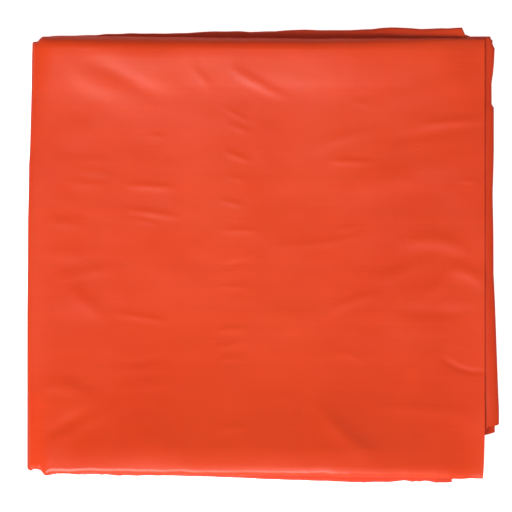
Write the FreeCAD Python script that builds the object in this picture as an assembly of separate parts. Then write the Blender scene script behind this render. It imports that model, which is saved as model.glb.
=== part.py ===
"""A folded polythene survival bag (bivvy bag), lying flat on a surface.

The bag is one length of lay-flat film tube, cut square at the mouth and heat
sealed across the foot. Flat, it is about 1.8 m long and 0.86 m wide. It is put
away in two stages.

1. Across its width the tube is halved twice, into four columns, A to D. From
   the side this is a spiral: D, A, B, C from the bottom up. Columns C and D
   meet at an outer fold on the +Y side, which holds the inner fold of A and B,
   and B and C meet at a fold on the -Y side. The tube's own two edges, those
   of A and D, end at the -Y side too, and D stops short of it.
2. Along its length the narrow strip is fan folded into eight leaves. Leaf 1
   lies on the surface and leaf 8 is on top. The creases 1|2, 3|4, 5|6 and 7|8
   are at -X, and 2|3, 4|5 and 6|7 are at +X. The foot of the bag is the free
   end of leaf 1 and the mouth is the free end of leaf 8, both at +X.

Every panel is the tube's two walls pressed together. Each crease has four
nested wraps, one per column. Units are millimetres, +Z is up, and the origin is
at the middle of the packet's footprint, on the surface it lies on.
"""
import FreeCAD, Part
import math
import os

V = FreeCAD.Vector

# ---- driving dimensions ----
LEAVES = 8                 # leaves of the fan fold
COLUMNS = 4                # columns across the bag's width
WALL = 0.125               # one wall of film (500 gauge)
PLY = 2 * WALL             # a flattened tube: two walls
PITCH = 0.525              # from one ply to the next, with the air between them
PACKET_X = 236.0           # packet, overall
PACKET_Y = 227.0
MOUTH_X = 110.5            # mouth edge of leaf 8
FOOT_X = 96.5              # cut end of leaf 1
WELD_W = 8.0               # foot seal and its margin
RIGHT_PANEL_X = 108.3      # where the panels end at the +X creases
PIVOT_OUT = 0.2            # how far the line a crease turns about lies past the panels
TUBE_EDGE_D = -89.0        # the tube's edge in column D, short of the -Y side
TUBE_EDGE_A_IN = 1.6       # the tube's other edge, in column A, inside the -Y fold
LOOSE_TOP_X = 115.2        # outer wrap of crease 6|7 bulges out this far at its +Y end

# +Y and -Y edge of the packet at each line across it: the foot, creases 1 to 7, the mouth
EDGE_TOP = [113.5, 109.5, 108.8, 109.2, 109.6, 108.9, 109.0, 109.3, 107.2]
EDGE_BOT = [-113.5, -110.0, -111.2, -109.8, -111.6, -110.2, -111.0, -109.6, -112.0]

# ---- derived ----
WRAP_R = [(m + 0.5) * PITCH for m in range(COLUMNS)]       # nested crease wraps, centre line
FOLD_OUT_R = 1.5 * PITCH                                   # C to D, at +Y
FOLD_IN_R = 0.5 * PITCH                                    # A to B at +Y, B to C at -Y
LEFT_PANEL_X = -PACKET_X / 2 + WRAP_R[-1] + PLY / 2        # where the panels end at the -X creases
TOP_IN = FOLD_OUT_R + PLY / 2
BOT_IN = FOLD_IN_R + PLY / 2


def ply_z(n):
    """Middle height of ply n, counted from the bottom of the packet."""
    return PLY / 2 + n * PITCH


def order(leaf):
    """Columns of a leaf from the bottom up. Every other leaf is turned over."""
    return "DABC" if leaf % 2 == 0 else "CBAD"


def column_z(leaf, col):
    return ply_z(COLUMNS * (leaf - 1) + order(leaf).index(col))


def line_of(leaf):
    """(x, +Y edge, -Y edge) at the foot side and at the mouth side of a leaf, as -X end then +X end."""
    ends = []
    for n in (leaf - 1, leaf):
        if n == 0:
            x = FOOT_X
        elif n == LEAVES:
            x = MOUTH_X
        else:
            x = LEFT_PANEL_X if n % 2 else RIGHT_PANEL_X
        ends.append((x, EDGE_TOP[n], EDGE_BOT[n]))
    return sorted(ends)


def at(ends, x):
    """The edges of a leaf at x, on the straight lines between its two ends."""
    (x0, t0, b0), (x1, t1, b1) = ends
    f = (x - x0) / (x1 - x0)
    return x, t0 + f * (t1 - t0), b0 + f * (b1 - b0)


def column_edges(col, top, bot):
    """+Y and -Y edge of one column's panel."""
    hi = top - TOP_IN
    if col == "D":
        return hi, TUBE_EDGE_D
    if col == "A":
        return hi, bot + BOT_IN + TUBE_EDGE_A_IN
    return hi, bot + BOT_IN


def flat(leaf, col, ends):
    """A column's flat panel between two ends."""
    z = column_z(leaf, col) - PLY / 2
    (x0, t0, b0), (x1, t1, b1) = ends
    h0, l0 = column_edges(col, t0, b0)
    h1, l1 = column_edges(col, t1, b1)
    pts = [V(x0, l0, z), V(x1, l1, z), V(x1, h1, z), V(x0, h0, z)]
    return Part.Face(Part.makePolygon(pts + pts[:1])).extrude(V(0, 0, PLY))


def half_ring(centre, radius, away, along):
    """A half ring of film about centre, bulging towards away, extruded along a vector."""
    up = V(0, 0, 1)
    ro, ri = radius + PLY / 2, radius - PLY / 2
    c = centre
    outer = Part.Arc(c - up * ro, c + away * ro, c + up * ro).toShape()
    inner = Part.Arc(c + up * ri, c + away * ri, c - up * ri).toShape()
    wire = Part.Wire([
        outer,
        Part.makeLine(c + up * ro, c + up * ri),
        inner,
        Part.makeLine(c - up * ri, c - up * ro),
    ])
    return Part.Face(wire).extrude(along)


def side_fold(leaf, one, other, ends):
    """The fold between two columns of a leaf."""
    z = (column_z(leaf, one) + column_z(leaf, other)) / 2
    r = abs(column_z(leaf, one) - column_z(leaf, other)) / 2
    (x0, t0, b0), (x1, t1, b1) = ends
    if "B" in (one, other) and "C" in (one, other):
        p, q, away = V(x0, b0 + BOT_IN, z), V(x1, b1 + BOT_IN, z), V(0, -1, 0)
    else:
        p, q, away = V(x0, t0 - TOP_IN, z), V(x1, t1 - TOP_IN, z), V(0, 1, 0)
    return half_ring(p, r, away, q - p)


def crease(n):
    """The four nested wraps of the crease between leaf n and leaf n + 1."""
    z = ply_z(COLUMNS * n - 0.5)
    left = n % 2 == 1
    x = LEFT_PANEL_X if left else RIGHT_PANEL_X
    away = V(-1, 0, 0) if left else V(1, 0, 0)
    wraps = []
    for m, col in enumerate(reversed(order(n))):
        hi, lo = column_edges(col, EDGE_TOP[n], EDGE_BOT[n])
        r = WRAP_R[m]
        if n == 6 and col == "D":
            wraps.append(loose_wrap(x, z, r, hi, lo))
            continue
        wraps.append(half_ring(V(x, lo, z), r, away, V(0, hi - lo, 0)))
    return Part.makeCompound(wraps)


def loose_wrap(x, z, r, hi, lo):
    """The outer wrap of crease 6|7, which was not pressed home. It stands out further at its -Y end."""
    ro, ri = r + PLY / 2, r - PLY / 2
    xe = PACKET_X / 2 - ro
    along = V(LOOSE_TOP_X - PACKET_X / 2, hi - lo, 0)

    def p(px, pz):
        return V(px, lo, z + pz)

    edges = [
        Part.makeLine(p(x, -ro), p(xe, -ro)),
        Part.Arc(p(xe, -ro), p(xe + ro, 0), p(xe, ro)).toShape(),
        Part.makeLine(p(xe, ro), p(x, ro)),
        Part.makeLine(p(x, ro), p(x, ri)),
        Part.makeLine(p(x, ri), p(xe, ri)),
        Part.Arc(p(xe, ri), p(xe + ri, 0), p(xe, -ri)).toShape(),
        Part.makeLine(p(xe, -ri), p(x, -ri)),
        Part.makeLine(p(x, -ri), p(x, -ro)),
    ]
    solid = Part.Face(Part.Wire(edges)).extrude(along)
    keep = Part.makeBox(60, hi - lo + 20, 20, V(x, lo - 10, z - 10))
    return solid.common(keep).Solids[0]


def build():
    parts = {}
    for leaf in range(1, LEAVES + 1):
        ends = line_of(leaf)
        if leaf == 1:
            whole = ends
            ends = [whole[0], at(whole, FOOT_X - WELD_W)]
            weld = [at(whole, FOOT_X - WELD_W), whole[1]]
            parts["foot_weld"] = Part.makeCompound(
                [flat(1, c, weld) for c in "ABCD"]
                + [side_fold(1, a, b, weld) for a, b in ("AB", "CD", "BC")]
            )
        for col in "ABCD":
            parts[f"leaf{leaf}_panel_{col.lower()}"] = flat(leaf, col, ends)
        parts[f"leaf{leaf}_fold_top"] = Part.makeCompound(
            [side_fold(leaf, "A", "B", ends), side_fold(leaf, "C", "D", ends)]
        )
        parts[f"leaf{leaf}_fold_bottom"] = side_fold(leaf, "B", "C", ends)
    for n in range(1, LEAVES):
        parts[f"crease_{n}_{n + 1}"] = crease(n)
    return parts


parts = build()
os.makedirs("parts", exist_ok=True)
whole = FreeCAD.BoundBox()
volume = 0.0
for name, shape in sorted(parts.items()):
    for s in shape.Solids:
        assert s.isValid() and s.Volume > 0, name
    shape.exportStep(f"parts/{name}.step")
    whole.add(shape.BoundBox)
    volume += shape.Volume
print(len(parts), "nodes,", sum(len(s.Solids) for s in parts.values()), "solids")
print("box", [round(v, 3) for v in (whole.XMin, whole.XMax, whole.YMin, whole.YMax, whole.ZMin, whole.ZMax)])
print("film volume", round(volume / 1000, 1), "cm3")
length = sum(line_of(j)[1][0] - line_of(j)[0][0] for j in range(1, LEAVES + 1)) + (LEAVES - 1) * math.pi * WRAP_R[1]
width = 3 * (EDGE_TOP[4] - EDGE_BOT[4]) + EDGE_TOP[4] - TUBE_EDGE_D
print("bag laid flat, about", round(length), "x", round(width), "mm")
for n in range(1, LEAVES):
    x = LEFT_PANEL_X - PIVOT_OUT if n % 2 else RIGHT_PANEL_X + PIVOT_OUT
    print("crease", n, "turns about x", round(x, 4), "z", round(ply_z(COLUMNS * n - 0.5), 4))
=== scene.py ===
"""Looks of the folded polythene survival bag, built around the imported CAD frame.

The bag is one film tube. Here each leaf of the fan fold is one continuous sheet
that runs through its four columns and their side folds, and each crease is four
wraps of film that bend between two leaves. All lengths below are millimetres in
the row frame, and they become metres when a mesh is made.
"""
import math

import bpy
import numpy as np
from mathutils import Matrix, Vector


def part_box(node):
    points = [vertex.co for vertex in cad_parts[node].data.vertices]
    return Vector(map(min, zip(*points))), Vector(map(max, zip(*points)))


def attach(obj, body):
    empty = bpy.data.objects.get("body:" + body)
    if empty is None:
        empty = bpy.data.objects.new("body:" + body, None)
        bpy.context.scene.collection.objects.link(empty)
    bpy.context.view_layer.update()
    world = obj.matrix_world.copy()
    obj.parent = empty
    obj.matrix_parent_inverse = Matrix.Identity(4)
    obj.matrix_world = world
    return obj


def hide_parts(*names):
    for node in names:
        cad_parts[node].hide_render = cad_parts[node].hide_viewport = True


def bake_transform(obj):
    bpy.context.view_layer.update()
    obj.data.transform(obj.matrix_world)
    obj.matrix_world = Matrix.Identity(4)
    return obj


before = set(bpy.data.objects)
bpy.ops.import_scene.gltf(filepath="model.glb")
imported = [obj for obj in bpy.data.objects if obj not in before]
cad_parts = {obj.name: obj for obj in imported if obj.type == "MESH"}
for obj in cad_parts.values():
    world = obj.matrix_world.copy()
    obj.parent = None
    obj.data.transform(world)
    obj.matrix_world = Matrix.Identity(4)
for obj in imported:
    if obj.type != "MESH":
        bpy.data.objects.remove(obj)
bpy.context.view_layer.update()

MM = 0.001
FILM = 0.25            # two walls of 0.125 mm pressed together
LEAVES = range(1, 9)
COLS = "ABCD"
scene = bpy.context.scene


# ------------------------------------------------------------------ the frame
def plan(node):
    """A panel's x range, its y range at each end, and its middle height."""
    co = np.array([v.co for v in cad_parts[node].data.vertices]) / MM
    x0, x1 = co[:, 0].min(), co[:, 0].max()
    a, b = co[co[:, 0] < x0 + 0.05], co[co[:, 0] > x1 - 0.05]
    return x0, x1, (a[:, 1].min(), a[:, 1].max()), (b[:, 1].min(), b[:, 1].max()), co[:, 2].mean()


class Leaf:
    def __init__(self, j):
        self.j = j
        p = {c: plan(f"leaf{j}_panel_{c.lower()}") for c in COLS}
        self.x0, self.x1 = p["C"][0], p["C"][1]
        self.z = {c: p[c][4] for c in COLS}
        self.ends = {
            "hi": (p["C"][2][1], p["C"][3][1]),
            "loA": (p["A"][2][0], p["A"][3][0]),
            "loBC": (p["C"][2][0], p["C"][3][0]),
            "loD": (p["D"][2][0], p["D"][3][0]),
        }

    def line(self, key, x):
        a, b = self.ends[key]
        return a + (np.asarray(x) - self.x0) / (self.x1 - self.x0) * (b - a)


leaf = {j: Leaf(j) for j in LEAVES}
TOP_Z = leaf[8].z["C"]
LEFT, RIGHT = leaf[4].x0, leaf[4].x1     # where the panels end at the creases
R_OUT = (leaf[8].z["C"] - leaf[7].z["C"]) / 2
MOUTH = 110.5
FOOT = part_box("foot_weld")[1].x / MM - 0.4


# ------------------------------------------------------------------ small maths
def smooth(t):
    t = np.clip(t, 0.0, 1.0)
    return t * t * (3 - 2 * t)


def quarter(d, a, p=2.4):
    """Rises from 0 at an edge to 1 at distance a, steepest at the edge, as a rolled film does."""
    return 1 - (1 - np.clip(d / a, 0, 1)) ** p


class Waves:
    """Smooth seeded noise in one or two dimensions: a sum of sines."""

    def __init__(self, seed, short, long, n=14, dims=2):
        r = np.random.default_rng(seed)
        wl = short * (long / short) ** r.random(n)
        ang = r.random(n) * 2 * np.pi
        self.k = np.stack([np.cos(ang), np.sin(ang)], 1)[:, :dims] * (2 * np.pi / wl)[:, None]
        if dims == 1:
            self.k = (2 * np.pi / wl)[:, None]
        self.ph = r.random(n) * 2 * np.pi
        self.a = (wl / long) ** 0.6
        self.a /= np.sqrt((self.a**2).sum() / 2)

    def __call__(self, x, y=None):
        out = 0.0
        for k, ph, a in zip(self.k, self.ph, self.a):
            arg = k[0] * x + (k[1] * y if y is not None else 0.0) + ph
            out = out + a * np.sin(arg)
        return out


# ------------------------------------------------------------------ how the film lies
stack_ripple = Waves(5, 38, 150)
fine_ripple = Waves(9, 16, 60, n=22)
top_mottle = Waves(21, 8, 26, n=26)
edge_wave = {j: (Waves(40 + j, 9, 70, dims=1), Waves(60 + j, 5, 40, n=20, dims=1)) for j in LEAVES}

# the stack's left side leans in towards +Y
LEAN_Y = [-112, -30, -5, 18, 33, 45, 52, 68, 86, 97, 105, 112]
LEAN_X = [0.0, 0.05, 0.3, 0.4, 0.8, 0.9, 1.35, 1.8, 2.25, 2.35, 2.5, 2.6]
# how far the leaves' two long edges lie off their plain lines (positive is towards +Y)
LOW_X = [-116, -103, -96, -83, -72.5, -69.5, -64, -58, -38.5, -26.5, -11.5, 3.5, 18.5, 38.5, 52, 63.5, 67, 70, 72.5, 75.5, 77, 80, 82, 85.5, 87.5, 94, 97]
LOW_DY = [0.3, 0.9, 1.0, 1.1, 0.2, 0.5, 0.1, 0.65, 0.7, 0.35, 0.2, -0.3, -0.7, -0.45, -0.6, -0.3, 0.4, 0.9, 1.0, 0.3, 0.65, 0.2, 0.7, 0.25, -0.1, 0.0, 0.05]
TOP8_X = [-116, -96, -40, 20, 70, 95, 110.5]
TOP8_DY = [0.0, 0.45, 0.3, 0.3, 0.9, 1.15, 1.1]
LOW8_X = [-116, -103, -83, -40, 20, 70, 110.5]
LOW8_DY = [0.2, 0.6, 0.9, 0.6, 0.5, 0.2, -0.1]
TEETH = {7: (101.2, 1.7), 5: (102.9, 0.9), 3: (105.2, 0.35)}
MOUTH_Y = [-113, -108, -100, -90, 110]
MOUTH_DX = [-0.5, -0.1, 0.15, 0.4, 0.35]


def ends_window(j, x, reach=26.0):
    """0 at a leaf's creased ends, 1 inside and at a free end."""
    w = smooth((x - LEFT) / reach)
    if j not in (1, 8):
        w = w * smooth((RIGHT - x) / reach)
    return w


def stack_lift(x, y, z):
    """The whole packet is dished: its folded sides are springy and its middle sags. Nothing moves at the creases."""
    win = smooth((x - LEFT) / 30) * smooth((RIGHT + 4 - x) / 26)
    dish = -0.6 + 2.2 * np.abs(np.clip(y, -108, 108) / 100) ** 2.6
    near = smooth((111 - np.abs(y)) / np.where(y > 0, 5.5, 2.5))
    return win * (dish * (0.6 + 0.4 * near) + 0.13 * stack_ripple(x, y)) * np.clip(z / TOP_Z, 0, 1) ** 1.2


def ridge(x, y, pts, width, height, sharp=1.0):
    """A soft ridge (or groove, if height is below 0) along a short curved line, fading at both ends."""
    pts = np.array(pts, float)
    t = np.linspace(0, 1, 13)[:, None]
    if len(pts) == 3:
        line = (1 - t) ** 2 * pts[0] + 2 * t * (1 - t) * (2 * pts[1] - (pts[0] + pts[2]) / 2) + t**2 * pts[2]
    else:
        line = (1 - t) * pts[0] + t * pts[1]
    seg = np.diff(line, axis=0)
    length = np.r_[0, np.cumsum(np.hypot(*seg.T))]
    best, where = np.full(x.shape, 1e9), np.zeros(x.shape)
    for a, s, l0, l1 in zip(line[:-1], seg, length[:-1], length[1:]):
        n2 = s @ s
        f = np.clip(((x - a[0]) * s[0] + (y - a[1]) * s[1]) / n2, 0, 1)
        d = np.hypot(x - a[0] - f * s[0], y - a[1] - f * s[1])
        nearer = d < best
        best = np.where(nearer, d, best)
        where = np.where(nearer, l0 + f * (l1 - l0), where)
    u = where / length[-1]
    taper = np.sin(np.pi * np.clip(0.06 + 0.88 * u, 0, 1)) ** 0.7
    return height * taper * np.exp(-np.abs(best / width) ** (2 * sharp))


def blob(x, y, cx, cy, rx, ry, height, turn=0.0):
    c, s = math.cos(math.radians(turn)), math.sin(math.radians(turn))
    u, v = (x - cx) * c + (y - cy) * s, -(x - cx) * s + (y - cy) * c
    return height * np.exp(-((u / rx) ** 2) - (v / ry) ** 2)


# the face's wrinkles: ridges (+) and grooves (-) as (points, half width, height)
RIDGES = [
    ([(-100.7, 97.5), (-86.5, 85.8), (-57.3, 75.5)], 5.5, 0.3),
    ([(-94.0, 106.0), (-62.0, 101.5), (-20.0, 103.5)], 9.0, 0.75),
    ([(-95.7, 104.5), (-78.2, 93.7), (-53.2, 80.0)], 4.5, -0.42),
    ([(-35.7, 94.2), (-26.2, 83.5)], 2.6, 0.18),
    ([(-16.5, 93.7), (-4.8, 86.7), (11.0, 78.8)], 2.6, 0.3),
    ([(-20.2, 73.8), (-5.7, 66.2)], 1.2, 0.1),
    ([(-16.5, 65.0), (-6.5, 61.2)], 1.5, 0.16),
    ([(-18.5, 51.5), (-6.8, 46.8)], 1.7, 0.24),
    ([(-18.2, 38.8), (-7.8, 37.5)], 1.6, 0.12),
    ([(-20.7, 27.2), (-10.2, 24.8)], 1.5, 0.18),
    ([(-19.8, 12.3), (-4.0, 12.2)], 1.6, 0.18),
    ([(-20.2, -5.8), (-7.8, -3.5)], 1.7, -0.15),
    ([(-21.5, -16.2), (-8.5, -15.8)], 1.4, 0.12),
    ([(-22.3, -37.8), (-8.5, -36.8)], 1.6, 0.17),
    ([(-23.2, -46.5), (-10.7, -44.2)], 1.6, 0.14),
    ([(-20.2, -52.2), (-9.5, -51.8)], 1.6, 0.14),
    ([(-23.2, -87.5), (-8.2, -85.5)], 2.2, 0.2),
    ([(-67.7, 34.8), (-45.7, 33.7)], 1.8, 0.28),
    ([(-67.3, 22.5), (-43.2, 19.2)], 1.8, 0.26),
    ([(-64.8, 17.2), (-58.2, 16.7), (-51.8, 14.2)], 1.6, 0.12),
    ([(-58.5, 59.7), (-49.0, 59.0)], 1.3, 0.1),
    ([(-91.5, 47.8), (-76.5, 46.8)], 2.0, 0.08),
    ([(-94.0, 42.2), (-76.5, 40.8)], 2.2, 0.1),
    ([(-96.5, 35.8), (-77.8, 34.8)], 2.0, 0.1),
    ([(-107.3, 16.8), (-90.5, 15.2)], 3.0, 0.24),
    ([(-106.5, 0.8), (-87.8, -0.5)], 4.0, 0.26),
    ([(-104.8, -12.2), (-74.0, -6.2)], 3.0, 0.18),
    ([(-96.5, -17.2), (-81.2, -30.8)], 4.0, 0.34),
    ([(-72.3, -29.3), (-59.8, -31.3), (-48.7, -33.2)], 1.8, 0.22),
    ([(-74.8, -52.2), (-63.2, -53.7), (-48.2, -50.2)], 2.2, -0.14),
    ([(-75.7, -66.2), (-44.0, -64.2)], 3.0, 0.18),
    ([(-108.8, -66.3), (-98.2, -65.8), (-88.5, -69.2)], 4.0, 0.45),
    ([(-108.2, -89.5), (-98.2, -84.2), (-89.0, -77.8)], 3.2, -0.34),
    ([(-106.5, -96.7), (-93.2, -87.0), (-75.7, -78.3)], 4.0, 0.3),
    ([(26.5, -74.5), (40.2, -89.2), (58.5, -104.2)], 4.2, 0.55),
    ([(56.8, -76.2), (80.2, -77.3), (102.2, -80.3)], 3.6, 0.34),
    ([(68.5, -64.5), (80.2, -54.2), (88.5, -49.2)], 5.0, 0.24),
    ([(90.2, -51.8), (100.2, -57.5), (111.5, -58.2)], 1.5, -0.34),
    ([(33.5, -50.3), (41.8, -49.7), (50.5, -53.2)], 2.0, 0.14),
    ([(69.3, -28.5), (101.8, -29.2)], 3.6, -0.38),
    ([(94.8, -5.5), (88.8, -14.2), (79.8, -21.2)], 4.0, 0.5),
    ([(91.5, -6.2), (100.2, -7.8), (109.2, -13.5)], 3.5, 0.48),
    ([(71.5, 5.8), (86.8, 7.0), (101.5, 2.2)], 4.0, 0.58),
    ([(56.0, -12.8), (71.8, -7.5), (86.0, -2.2)], 4.0, 0.32),
    ([(32.7, -29.2), (43.5, -23.5), (57.2, -20.2)], 2.6, 0.26),
    ([(34.3, 46.8), (54.5, 46.3)], 1.8, 0.24),
    ([(26.8, 52.5), (38.5, 58.2), (53.8, 61.5)], 3.0, 0.22),
    ([(81.8, 65.5), (95.2, 66.7), (108.8, 67.2)], 2.2, 0.34),
    ([(65.2, 57.7), (83.5, 60.7), (101.8, 62.8)], 3.0, -0.28),
    ([(98.5, 37.0), (106.2, 36.8)], 1.4, 0.12),
    ([(8.2, 4.5), (28.5, 5.8), (47.2, 9.2)], 2.0, 0.14),
    ([(36.8, 12.2), (47.2, 14.2)], 1.6, 0.1),
    ([(48.5, 75.5), (78.5, 81.3), (107.2, 90.5)], 6.0, 0.34),
    ([(45.5, 76.2), (52.8, 75.8)], 1.6, 0.1),
    ([(40.2, 34.2), (76.8, 40.8), (101.8, 49.2)], 6.0, 0.26),
    ([(5.2, -22.5), (35.2, -19.2)], 7.0, -0.2),
]
# broad swells and hollows: centre, the two radii, height, turn in degrees
BLOBS = [
    (-60, 88, 40, 14, 0.55, -8),
    (20, 92, 70, 12, 0.35, 2),
    (-93, -74, 14, 8, 0.45, 0),
    (-94, -22, 12, 9, 0.40, 0),
    (-15, 20, 10, 60, 0.12, 0),
    (98, -32, 9, 20, 0.30, 0),
    (70, 40, 40, 9, 0.25, 20),
    (45, -5, 50, 10, -0.25, 10),
    (106, -78, 10, 9, 0.35, 0),
]


SLOPE_Y = [-114, -101.5, -97.5, -86, -65, -40, -15, 5, 30, 60, 75, 83, 100, 114]
SLOPE = [0.03, 0.03, -0.155, -0.160, -0.096, -0.045, -0.018, 0.0, 0.014, 0.026, 0.034, 0.085, 0.080, 0.06]
PROFILE_Y = np.linspace(-114, 114, 457)
_s = np.convolve(np.interp(PROFILE_Y, SLOPE_Y, SLOPE), np.ones(7) / 7, "same")
_s[:4], _s[-4:] = SLOPE[0], SLOPE[-1]
PROFILE_Z = np.r_[0, np.cumsum((_s[1:] + _s[:-1]) / 2 * np.diff(PROFILE_Y))]
PROFILE_Z = PROFILE_Z - PROFILE_Z.min()


def top_lift(x, y):
    """How far the top ply stands above its plain place."""
    L8 = leaf[8]
    dl = x - (LEFT - R_OUT)
    dr = MOUTH - x
    dt = L8.line("hi", x) + 0.79 - y
    db = y - (L8.line("loBC", x) - 0.26)
    # a hollow that climbs to a springy roll along each long side
    climb = np.interp(y, PROFILE_Y, PROFILE_Z) + 0.035 * np.maximum(y - 84, 0) * smooth((x + 70) / 50)
    dish = 0.75 + np.where(y < 5, climb * (1 - 0.34 * smooth((-x - 45) / 60) - 0.12 * smooth((x - 70) / 40)), climb * (1 - 0.12 * smooth((x - 10) / 60)))
    base = dish * quarter(dl, 13, 2.0) * (0.45 + 0.55 * quarter(db, 0.9, 1.5)) * (0.25 + 0.75 * quarter(dt, 4.4, 2.2))
    base = base * (0.16 + 0.84 * smooth(dr / 80)) + 0.2 * smooth(dl / 30) * smooth(db / 6) * smooth(dt / 6)
    inside = smooth((dl - 2) / 10) * smooth((db - 3) / 12) * smooth((dt - 1) / 6)
    f = 0.042 * fine_ripple(x, y) + 0.012 * top_mottle(x, y)
    for pts, w, h in RIDGES:
        f = f + 0.8 * ridge(x, y, pts, w, h)
    for b in BLOBS:
        f = f + blob(x, y, *b)
    # crumples running in from the bottom roll
    r = np.sin(x / 6.1 + 1.9 * np.sin(x / 23.0)) * np.exp(-(((y + 104) / 7.0) ** 2)) * 0.07
    return np.maximum(base + (f + r) * inside, 0.0)


# the loose outer wrap of crease 6|7 and the one below it: how far out they reach, by y
LOOSE_Y = np.array([-89.0, -84.7, -79, -61, -41.5, -22.5, -9.5, 9.5, 24, 31, 43, 52.5, 74.9, 75.5, 86, 91, 96, 104.0, 105.6, 107.3, 108.2])
LOOSE_X = np.array([118.1, 118.1, 118.05, 117.4, 116.7, 116.0, 115.35, 115.3, 115.0, 114.9, 115.3, 115.5, 115.5, 114.4, 114.35, 115.1, 115.6, 115.95, 114.8, 114.9, 114.0])
UNDER_Y = np.array([-89.0, -75, -55, -30, 60, 85, 95, 106.0, 107.6, 108.2])
UNDER_X = np.array([116.2, 116.0, 113.6, 111.8, 111.6, 112.6, 113.6, 115.0, 114.9, 113.9])
# the loose wrap's section, from the lower leaf round to the upper one: share of the reach, height from the crease's middle
LOOSE_S = np.array([(0, -1.8375), (0.2, -1.85), (0.45, -1.9), (0.7, -1.85), (0.88, -1.5), (0.98, -0.8), (1.0, 0.0), (0.99, 0.7), (0.94, 1.35), (0.82, 1.85), (0.66, 2.15), (0.5, 2.35), (0.36, 2.4), (0.25, 2.2), (0.13, 1.9), (0, 1.8375)])


def catmull(p, n):
    """n points evenly spaced in parameter on a smooth curve through p."""
    q = np.vstack([2 * p[0] - p[1], p, 2 * p[-1] - p[-2]])
    t = np.linspace(0, len(p) - 1, n)
    i = np.minimum(t.astype(int), len(p) - 2)
    f = (t - i)[:, None]
    a, b, c, d = q[i], q[i + 1], q[i + 2], q[i + 3]
    return 0.5 * (2 * b + (c - a) * f + (2 * a - 5 * b + 4 * c - d) * f**2 + (3 * b - a - 3 * c + d) * f**3)


def wrap_reach(n, col, y):
    """How far the outside of a crease's wrap stands out from the panels' end."""
    if n == 6 and col == "D":
        return np.interp(y, LOOSE_Y, LOOSE_X) - RIGHT
    if n == 4 and col == "D":
        return np.interp(y, UNDER_Y, UNDER_X) - RIGHT
    return None


def displace(j, X, Y, Z, top):
    """Moves plain points to where the film lies. j is the leaf, top is 1 on the packet's top ply."""
    x, y, z = X, Y, Z
    dz = stack_lift(x, y, z) + top * top_lift(x, y)
    if j == 8:
        zd = leaf[8].z["D"]
        z = zd + (z - zd) * (1 - 0.51 * smooth((x - 72) / 38))
    L = leaf[min(j, 8)]
    hi, lo = L.line("hi", x), L.line("loBC", x)
    w = ends_window(j, x, 18)
    et, eb = edge_wave[j]
    at_hi, at_lo = smooth((y - hi + 22) / 22), smooth((lo + 22 - y) / 22)
    if j == 1:
        dt = 0.6 + 0.12 * et(x) * w
        dt = dt * smooth((x - LEFT) / 12)
        db = (np.interp(x, LOW_X, LOW_DY) - 0.5 - 0.6 * smooth((x - 20) / 30)) * smooth((x - LEFT) / 12) + 0.1 * eb(x) * w
    elif j == 8:
        dt = np.interp(x, TOP8_X, TOP8_DY) * smooth((x - LEFT) / 12) + 0.06 * et(x) * w
        db = np.interp(x, LOW8_X, LOW8_DY) * smooth((x - LEFT) / 12) + 0.12 * eb(x) * w
    else:
        side = smooth((x - LEFT) / 12) * smooth((RIGHT - x) / 12)
        dt = 0.2 * et(x) * w
        if j == 7:
            cover = leaf[1].line("hi", x) - leaf[7].line("hi", x) + 0.35
            dt = dt + cover * smooth((x - LEFT - 8) / 40) * smooth((TEETH[7][0] - x) / 0.9)
        elif j in TEETH:
            end, high = TEETH[j]
            dt = dt + high * smooth((x - 55) / 35) * smooth((end - x) / 0.9)
        db = (0.25 + 0.32 * eb(x)) * w + 0.35 * smooth((-20 - x) / 40) * side
    dy = dt * at_hi + db * at_lo
    dx = np.interp(y, LEAN_Y, LEAN_X) * smooth((LEFT + 45 - x) / 45)
    if j == 8:
        dx = dx + (np.interp(y, MOUTH_Y, MOUTH_DX) - 0.7 * (1 - top)) * smooth((x - 85) / 25)
    if j == 1:
        dx = dx + (1.1 + 0.0195 * y) * smooth((x - 60) / 36)
    # corners: the wraps are pinched in where a crease and a side fold meet
    dy = dy - 2.6 * smooth((-112.6 - x) / 3.2) * smooth((y - 101) / 8)
    low = smooth((-96 - y) / 13)
    dy = dy + 3.0 * smooth((-109.0 - x) / 2.4) * low
    dy = dy - low * (0.9 * np.exp(-(((x + 116.4) / 1.1) ** 2)) + 0.8 * np.exp(-(((x + 112.2) / 1.0) ** 2)) + 0.9 * np.exp(-(((x + 108.3) / 1.3) ** 2)))
    return x + dx, y + dy, z + dz


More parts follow.
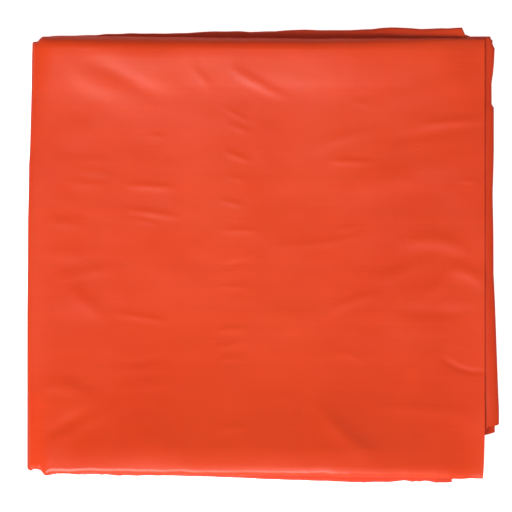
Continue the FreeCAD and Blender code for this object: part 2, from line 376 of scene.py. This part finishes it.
# ------------------------------------------------------------------ meshes
def path(L, panel_h, fine=None, fine_h=1.0, ring=7):
    """The leaf's section from column A's edge to column D's: rows of [hi, loA, loBC, loD, const] weights, z, which ply, and top share."""
    rows = []

    def stations(h, length=218.0):
        n = max(6, int(round(length / h)))
        f = np.linspace(0, 1, n + 1)
        e = np.array([0.0, 0.004, 0.012, 0.024, 0.045])
        f = np.unique(np.round(np.r_[e, f[(f > 0.06) & (f < 0.94)], 1 - e], 6))
        return f

    def panel(c, lo, up):
        f = stations(fine_h if c == fine else panel_h)
        if not up:
            f = f[::-1]
        for t in f:
            w = np.zeros(5)
            w[0] = t
            w[{"loA": 1, "loBC": 2, "loD": 3}[lo]] += 1 - t
            rows.append((w, L.z[c], c, None))

    def ring_rows(c1, c2, at):
        zc, h = (L.z[c1] + L.z[c2]) / 2, (L.z[c2] - L.z[c1]) / 2
        r = abs(h)
        n = ring if r < 0.5 else ring + 4
        for psi in np.linspace(0, np.pi, n)[1:-1]:
            w = np.zeros(5)
            if at == "hi":
                w[0], w[4] = 1, r * np.sin(psi)
            else:
                w[2], w[4] = 1, -r * np.sin(psi)
            rows.append((w, zc - h * np.cos(psi), c1 if psi < np.pi / 2 else c2, (c1, c2, psi / np.pi)))

    panel("A", "loA", True)
    ring_rows("A", "B", "hi")
    panel("B", "loBC", False)
    ring_rows("B", "C", "lo")
    panel("C", "loBC", True)
    ring_rows("C", "D", "hi")
    panel("D", "loD", False)
    W = np.array([r[0] for r in rows])
    z = np.array([r[1] for r in rows])
    col = np.array([r[2] for r in rows])
    top = np.zeros(len(rows))
    for i, (_, _, c, ringinfo) in enumerate(rows):
        if ringinfo is None:
            top[i] = 1.0 if c == "C" else 0.0
        elif "C" in ringinfo[:2]:
            f = ringinfo[2] if ringinfo[1] == "C" else 1 - ringinfo[2]
            top[i] = smooth(2 * f - 1) if "D" in ringinfo[:2] else smooth(f)
    return W, z, col, top


def section(L, W, x):
    """y of every path row at every x."""
    x = np.asarray(x, float)
    keys = np.stack([L.line("hi", x), L.line("loA", x), L.line("loBC", x), L.line("loD", x), np.ones_like(x)])
    return W @ keys


def across(W, z, L):
    """Distance across the bag's width of every path row."""
    y = section(L, W, [0.0])[:, 0]
    return np.r_[0, np.cumsum(np.hypot(np.diff(y), np.diff(z)))]


def sheet_mesh(name, P, U, V, fold, thickness=FILM):
    """A closed thin sheet on a grid of points P[rows, cols, 3] in millimetres. U and V are its film coordinates in millimetres."""
    n, m = P.shape[:2]
    du, dv = np.gradient(P, axis=0), np.gradient(P, axis=1)
    N = np.cross(du, dv)
    N /= np.maximum(np.linalg.norm(N, axis=2, keepdims=True), 1e-12)
    A, B = P + N * thickness / 2, P - N * thickness / 2
    verts = np.concatenate([A.reshape(-1, 3), B.reshape(-1, 3)]) * MM
    idx = np.arange(n * m).reshape(n, m)
    q = np.stack([idx[:-1, :-1], idx[:-1, 1:], idx[1:, 1:], idx[1:, :-1]], -1).reshape(-1, 4)
    top, low = q[:, ::-1], q + n * m
    rim = np.concatenate([idx[0, :], idx[1:, -1], idx[-1, -2::-1], idx[-2:0:-1, 0]])
    nxt = np.roll(rim, -1)
    side = np.stack([rim, nxt, nxt + n * m, rim + n * m], -1)
    faces = np.concatenate([top, low, side])
    me = bpy.data.meshes.new(name)
    me.vertices.add(len(verts))
    me.vertices.foreach_set("co", verts.astype(np.float32).ravel())
    me.loops.add(faces.size)
    me.loops.foreach_set("vertex_index", faces.astype(np.int32).ravel())
    me.polygons.add(len(faces))
    me.polygons.foreach_set("loop_start", np.arange(0, faces.size, 4, dtype=np.int32))
    me.polygons.foreach_set("use_smooth", np.ones(len(faces), bool))
    me.update(calc_edges=True)
    me.validate()
    # crisp cut edges
    is_rim = np.zeros(2 * n * m, bool)
    is_rim[rim], is_rim[rim + n * m] = True, True
    e = np.empty(len(me.edges) * 2, np.int32)
    me.edges.foreach_get("vertices", e)
    e = e.reshape(-1, 2)
    sharp = is_rim[e[:, 0]] & is_rim[e[:, 1]] & ((e[:, 0] < n * m) == (e[:, 1] < n * m))
    att = me.attributes.get("sharp_edge") or me.attributes.new("sharp_edge", "BOOLEAN", "EDGE")
    att.data.foreach_set("value", sharp)
    # film coordinates, in metres: across the bag's width, along its length, and which wall
    uv = np.stack([U, V], -1).reshape(-1, 2) * MM
    uv = np.concatenate([uv, uv])
    layer = me.uv_layers.new(name="film")
    li = np.empty(len(me.loops), np.int32)
    me.loops.foreach_get("vertex_index", li)
    layer.data.foreach_set("uv", uv[li].astype(np.float32).ravel())
    # 1 on a fold line, fading away from it; the material paints shade (darker colour) there
    f = np.broadcast_to(fold, (n, m)).ravel().astype(np.float32)
    att = me.attributes.new("fold", "FLOAT", "POINT")
    att.data.foreach_set("value", np.r_[f, f])
    ob = bpy.data.objects.new(name, me)
    scene.collection.objects.link(ob)
    return ob


def fold_rows(W, z, L):
    """1 at the middle of each side fold, fading over a few millimetres of film."""
    u = across(W, z, L)
    ring = np.flatnonzero(W[:, 4] != 0)
    groups = np.split(ring, np.flatnonzero(np.diff(ring) > 1) + 1)
    out = np.zeros(len(u))
    for g in groups:
        mid = (u[g[0]] + u[g[-1]]) / 2
        out = np.maximum(out, np.exp(-np.abs((u - mid) / 1.1) ** 1.4))
    return out


def along(j, x):
    """Distance along the bag from the foot, for leaf j at x."""
    start = sum(leaf[k].x1 - leaf[k].x0 for k in LEAVES if k < j) + 3.3 * (j - 1)
    return start + (leaf[j].x1 - x if j % 2 else x - leaf[j].x0)


def x_stations(a, b, h):
    n = max(4, int(round((b - a) / h)))
    f = np.linspace(a, b, n + 1)
    f = f[(f > a + 2.6) & (f < b - 2.6)]
    near = np.array([0.0, 0.5, 1.1, 2.0])
    return np.sort(np.r_[a + near, f, b - near])


leaf_film, crease_film = {}, {}
for j in LEAVES:
    L = leaf[j]
    is_top = j == 8
    W, z, col, top = path(L, 3.0 if is_top else 6.0, "C" if is_top else None, 0.8)
    x = x_stations(L.x0, MOUTH if is_top else L.x1, 0.8 if is_top else 2.2)
    Y = section(L, W, x)
    X = np.broadcast_to(x, Y.shape).copy()
    Z = np.repeat(z[:, None], len(x), 1)
    T = np.repeat((top if is_top else top * 0)[:, None], len(x), 1)
    if is_top:
        share = np.interp(z, [L.z[c] for c in "DABC"], [0.2, 0.42, 0.64, 1.0])
        T = np.maximum(T, share[:, None] * smooth((x - 55) / 50)[None, :])
    P = np.stack(displace(j, X, Y, Z, T), -1)
    U = np.repeat(across(W, z, L)[:, None], len(x), 1)
    V = along(j, X)
    near = np.exp(-np.abs((x - LEFT + 2.5) / 1.6))
    if j not in (1, 8):
        near = np.maximum(near, np.exp(-np.abs((RIGHT + 2.5 - x) / 1.6)))
    fold = np.maximum(fold_rows(W, z, L)[:, None], near[None, :])
    leaf_film[j] = sheet_mesh(f"leaf_{j}_film", P, U, V, fold)

for n in range(1, 8):
    lower, upper = leaf[n], leaf[n + 1]
    left = n % 2 == 1
    xc = LEFT if left else RIGHT
    zc = (lower.z["C"] + upper.z["C"]) / 2
    fine_rows = 0.8 if n == 7 else 2.0 if n in (4, 6) else 5.0
    W, z, col, top = path(lower, fine_rows, ring=7)
    y = section(lower, W, [xc])[:, 0]
    u_all, f_all = across(W, z, lower), fold_rows(W, z, lower)
    topu = path(upper, fine_rows, ring=7)[3]
    for c in COLS:
        rows = np.flatnonzero(col == c)
        if rows[0] > 0:
            rows = np.r_[rows[0] - 1, rows]
        r = (zc - z[rows])[:, None]
        Y0 = y[rows][:, None]
        reach = wrap_reach(n, c, y[rows])
        if reach is None:
            psi = np.linspace(0, np.pi, 17)[None, :]
            X = xc + (-r if left else r) * np.sin(psi)
            Z = zc - r * np.cos(psi)
            Y = np.repeat(Y0, psi.shape[1], 1)
        else:
            shape = catmull(LOOSE_S, 41)
            psi = np.linspace(0, np.pi, 41)[None, :]
            push = np.maximum(reach[:, None], r)
            X = xc + push * shape[None, :, 0]
            height = 1.0 if n == 6 else 0.86
            wave = 0.12 * np.sin(Y0 / 9.0 + 2.2 * np.sin(Y0 / 31.0)) + 0.1 * np.sin(Y0 / 3.7 + 1.0)
            puff = np.clip(shape[None, :, 1] - 1.8375, 0, 9)
            Z = zc + (r / 1.8375) * (shape[None, :, 1] - puff + puff * height * (1 + wave))
            Y = np.repeat(Y0, psi.shape[1], 1)
            # the tube's edge is ragged where the loose wrap ends
            out = X - RIGHT
            if n == 6:
                lift = np.interp(out, [0, 2.5, 4.5, 7.5, 8.6, 9.9], [0, 1.0, 3.2, 3.4, 3.6, 4.3])
            else:
                lift = np.interp(out, [0, 2.5, 4.2, 6.0, 7.9], [0, -1.3, -1.0, -0.5, 0.1])
            Y = Y + lift * smooth((-66 - Y) / 22)
        T = np.zeros_like(X)
        if n == 7:
            T = topu[rows][:, None] * smooth((psi / np.pi - 0.5) * 2)
        P = np.stack(displace(n, X, Y, Z, T), -1)
        U = np.repeat(u_all[rows][:, None], X.shape[1], 1)
        V = along(n, np.full(X.shape, xc)) + 3.3 * psi / np.pi
        fold = np.maximum(f_all[rows][:, None], np.sin(psi) ** 1.5 * (0.6 if reach is not None else 1.0))
        crease_film[n, c] = sheet_mesh(f"crease_{n}_{n + 1}_film_{c.lower()}", P, U, V, fold)

# the foot seal: the same section carried on to the cut end, pressed thinner and ribbed by the sealing bar
L = leaf[1]
W, z, col, top = path(L, 5.0)
x = np.linspace(L.x1, FOOT, 41)
Y = section(L, W, x)
X = np.broadcast_to(x, Y.shape).copy()
Z = np.repeat(z[:, None], len(x), 1)
P = np.stack(displace(1, X, Y, Z, np.zeros_like(X)), -1)
rib = 0.035 * np.sin((x - L.x1 - 1.0) * 2 * np.pi / 1.1) * smooth((x - L.x1 - 0.8) / 0.6) * smooth((FOOT - 0.9 - x) / 0.6)
P[..., 2] += rib[None, :]
weld = sheet_mesh("foot_weld_film", P, np.repeat(across(W, z, L)[:, None], len(x), 1), -(X - L.x1), fold_rows(W, z, L)[:, None], thickness=0.2)


# ------------------------------------------------------------------ materials
def node(nt, kind, **props):
    n = nt.nodes.new(kind)
    for k, v in props.items():
        setattr(n, k, v)
    return n


def ramp(nt, fac, stops):
    n = nt.nodes.new("ShaderNodeValToRGB")
    els = n.color_ramp.elements
    while len(els) > len(stops):
        els.remove(els[-1])
    while len(els) < len(stops):
        els.new(1.0)
    for e, (p, c) in zip(els, stops):
        e.position = p
        e.color = (c, c, c, 1) if isinstance(c, float) else (*c, 1)
    nt.links.new(fac, n.inputs[0])
    return n.outputs[0]


def mix(nt, kind, fac, a, b):
    n = node(nt, "ShaderNodeMix", data_type="RGBA", blend_type=kind)
    for key, v in ((0, fac), (6, a), (7, b)):
        if isinstance(v, bpy.types.NodeSocket):
            nt.links.new(v, n.inputs[key])
        else:
            n.inputs[key].default_value = v
    return n.outputs[2]


def math_node(nt, op, a, b):
    n = node(nt, "ShaderNodeMath", operation=op)
    for i, v in enumerate((a, b)):
        if isinstance(v, bpy.types.NodeSocket):
            nt.links.new(v, n.inputs[i])
        else:
            n.inputs[i].default_value = v
    return n.outputs[0]


def film_material(name, seal=False):
    """Blown low-density polythene, pigmented orange: satin, with die lines along the tube, small thickness changes,
    gel specks, a matt handling haze, and painted shade: a deeper, darker colour along the fold lines."""
    m = bpy.data.materials.new(name)
    m.use_nodes = True
    nt = m.node_tree
    nt.nodes.clear()
    out = node(nt, "ShaderNodeOutputMaterial")
    b = node(nt, "ShaderNodeBsdfPrincipled")
    nt.links.new(b.outputs[0], out.inputs[0])
    uv = node(nt, "ShaderNodeUVMap", uv_map="film").outputs[0]

    def noise(scale, detail=3.0, rough=0.5, stretch=None, at=(0, 0, 0), distort=0.0):
        mp = node(nt, "ShaderNodeMapping")
        nt.links.new(uv, mp.inputs[0])
        mp.inputs["Location"].default_value = at
        mp.inputs["Scale"].default_value = stretch or (1, 1, 1)
        n = node(nt, "ShaderNodeTexNoise")
        nt.links.new(mp.outputs[0], n.inputs["Vector"])
        n.inputs["Scale"].default_value = scale
        n.inputs["Detail"].default_value = detail
        n.inputs["Roughness"].default_value = rough
        n.inputs["Distortion"].default_value = distort
        return n.outputs["Fac"]

    thick = noise(11.0, 4.0, 0.55)
    patch = noise(55.0, 3.0, 0.6, at=(3.1, 1.7, 0))
    die = noise(1.0, 2.0, 0.7, stretch=(900.0, 3.0, 1.0))
    die_wide = noise(1.0, 1.0, 0.5, stretch=(120.0, 1.2, 1.0), at=(5.0, 2.0, 0))
    haze = noise(24.0, 5.0, 0.62, at=(7.0, 4.0, 0), distort=0.6)
    peel = noise(620.0, 2.0, 0.5)
    crinkle = noise(130.0, 3.0, 0.55, at=(1.0, 9.0, 0), distort=0.4)

    colour = ramp(nt, thick, [(0.25, (0.80, 0.0470, 0.0042)), (0.5, (0.84, 0.0560, 0.0062)), (0.78, (0.86, 0.0640, 0.0084))])
    colour = mix(nt, "MULTIPLY", 1.0, colour, ramp(nt, patch, [(0.3, 0.965), (0.7, 1.0)]))
    colour = mix(nt, "MULTIPLY", 1.0, colour, ramp(nt, die_wide, [(0.3, 0.965), (0.7, 1.0)]))
    colour = mix(nt, "MULTIPLY", 1.0, colour, ramp(nt, die, [(0.35, 0.975), (0.65, 1.0)]))
    # gel specks: small dots of unmixed pigment, far apart
    vor = node(nt, "ShaderNodeTexVoronoi", feature="F1")
    nt.links.new(uv, vor.inputs["Vector"])
    vor.inputs["Scale"].default_value = 75.0
    vor.inputs["Randomness"].default_value = 1.0
    speck = ramp(nt, vor.outputs["Distance"], [(0.0, 1.0), (0.022, 1.0), (0.036, 0.0)])
    colour = mix(nt, "MIX", math_node(nt, "MULTIPLY", speck, 0.35), colour, (0.62, 0.026, 0.002, 1))
    # painted shade: a darker, deeper colour along fold lines, standing in for the shade where the film turns over
    at = node(nt, "ShaderNodeAttribute", attribute_name="fold")
    fold = at.outputs["Fac"]
    colour = mix(nt, "MIX", math_node(nt, "MULTIPLY", fold, 0.5), colour, (0.50, 0.022, 0.002, 1))
    # and a faint bloom of crease whitening beside them
    bloom = ramp(nt, fold, [(0.0, 0.0), (0.16, 0.0), (0.3, 1.0), (0.46, 0.0)])
    bloom = math_node(nt, "MULTIPLY", bloom, ramp(nt, patch, [(0.42, 0.0), (0.62, 0.08)]))
    colour = mix(nt, "MIX", bloom, colour, (0.90, 0.17, 0.07, 1))
    if seal:
        colour = mix(nt, "MULTIPLY", 1.0, colour, ramp(nt, crinkle, [(0.3, 0.86), (0.7, 0.96)]))
    nt.links.new(colour, b.inputs["Base Color"])

    rough = ramp(nt, haze, [(0.3, 0.33 if seal else 0.36), (0.55, 0.395), (0.75, 0.44)])
    rough = math_node(nt, "ADD", rough, math_node(nt, "MULTIPLY", fold, 0.06))
    nt.links.new(rough, b.inputs["Roughness"])
    b.inputs["IOR"].default_value = 1.49
    b.inputs["Specular IOR Level"].default_value = 0.5
    b.inputs["Coat Weight"].default_value = 0.06
    b.inputs["Coat Roughness"].default_value = 0.2

    prev = None
    for h, dist in ((crinkle, 4.5e-5), (die_wide, 2.5e-5), (die, 5e-6), (peel, 6e-6)):
        bump = node(nt, "ShaderNodeBump")
        bump.inputs["Strength"].default_value = 1.0
        bump.inputs["Distance"].default_value = dist
        nt.links.new(h, bump.inputs["Height"])
        if prev:
            nt.links.new(prev, bump.inputs["Normal"])
        prev = bump.outputs[0]
    nt.links.new(prev, b.inputs["Normal"])
    return m


FILM_MAT = film_material("film_orange")
SEAL_MAT = film_material("film_orange_seal", seal=True)
for ob in [*leaf_film.values(), *crease_film.values()]:
    ob.data.materials.append(FILM_MAT)
weld.data.materials.append(SEAL_MAT)

# ------------------------------------------------------------------ riding
for j, ob in leaf_film.items():
    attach(ob, f"leaf_{j}")
    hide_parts(*[f"leaf{j}_panel_{c}" for c in "abcd"], f"leaf{j}_fold_top", f"leaf{j}_fold_bottom")
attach(weld, "leaf_1")
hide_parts("foot_weld")
for (n, c), ob in crease_film.items():
    xc = LEFT if n % 2 else RIGHT
    zc = (leaf[n].z["C"] + leaf[n + 1].z["C"]) / 2
    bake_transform(ob)
    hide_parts(f"crease_{n}_{n + 1}")
for j, ob in leaf_film.items():
    L = leaf[j]
    with_pieces = [crease_film[j, c] for c in COLS] if j < 8 else []
    if j == 1:
        with_pieces.append(weld)

# ------------------------------------------------------------------ floor, light, camera
me = bpy.data.meshes.new("floor")
s = 4.0
me.from_pydata([(-s, -s, 0), (s, -s, 0), (s, s, 0), (-s, s, 0)], [], [(0, 1, 2, 3)])
floor = bpy.data.objects.new("floor", me)
scene.collection.objects.link(floor)
fm = bpy.data.materials.new("floor_white")
fm.use_nodes = True
fm.node_tree.nodes["Principled BSDF"].inputs["Base Color"].default_value = (0.9, 0.9, 0.9, 1)
fm.node_tree.nodes["Principled BSDF"].inputs["Roughness"].default_value = 0.9
fm.node_tree.nodes["Principled BSDF"].inputs["Emission Color"].default_value = (1, 1, 1, 1)
fm.node_tree.nodes["Principled BSDF"].inputs["Emission Strength"].default_value = 0.88
me.materials.append(fm)
floor.visible_glossy = False
floor.visible_diffuse = True


def area(name, loc, target, size, power, colour=(1, 1, 1)):
    d = bpy.data.lights.new(name, "AREA")
    d.shape = "RECTANGLE"
    d.size, d.size_y = size
    d.energy = power
    d.color = colour
    o = bpy.data.objects.new(name, d)
    scene.collection.objects.link(o)
    o.location = loc
    from mathutils import Vector
    o.rotation_euler = (Vector(target) - Vector(loc)).to_track_quat("-Z", "Y").to_euler()
    return o


area("key_soft", (-0.52, -1.30, 1.43), (0, 0, 0.01), (1.3, 1.3), 51.5)
sheen = area("sheen_soft", (-0.12, -0.62, 1.85), (0, 0, 0.01), (0.6, 0.5), 1.25)
sheen.visible_diffuse = False
area("low_soft", (-0.85, -1.43, 0.69), (0, 0, 0.01), (0.9, 0.6), 1.0)
fill = area("fill_soft", (0.85, 0.8, 1.6), (0, 0, 0.01), (1.4, 1.4), 3.2)
fill.visible_glossy = False
world = bpy.data.worlds.new("world")
scene.world = world
world.use_nodes = True
bg = world.node_tree.nodes["Background"]
bg.inputs[0].default_value = (1, 1, 1, 1)
bg.inputs[1].default_value = 0.13

cam_d = bpy.data.cameras.new("camera")
cam = bpy.data.objects.new("camera", cam_d)
scene.collection.objects.link(cam)
scene.camera = cam
cam_d.sensor_width = 36.0
cam_d.lens = 400.0
CX, CY = -3.5, -0.5
dist = 256.0 * cam_d.lens / cam_d.sensor_width
cam.location = (CX * MM, CY * MM, (TOP_Z + 0.5 + dist) * MM)
cam.rotation_euler = (0, 0, 0)
cam_d.clip_start, cam_d.clip_end = 0.05, 20
scene.view_settings.view_transform = "Standard"
scene.view_settings.look = "None"
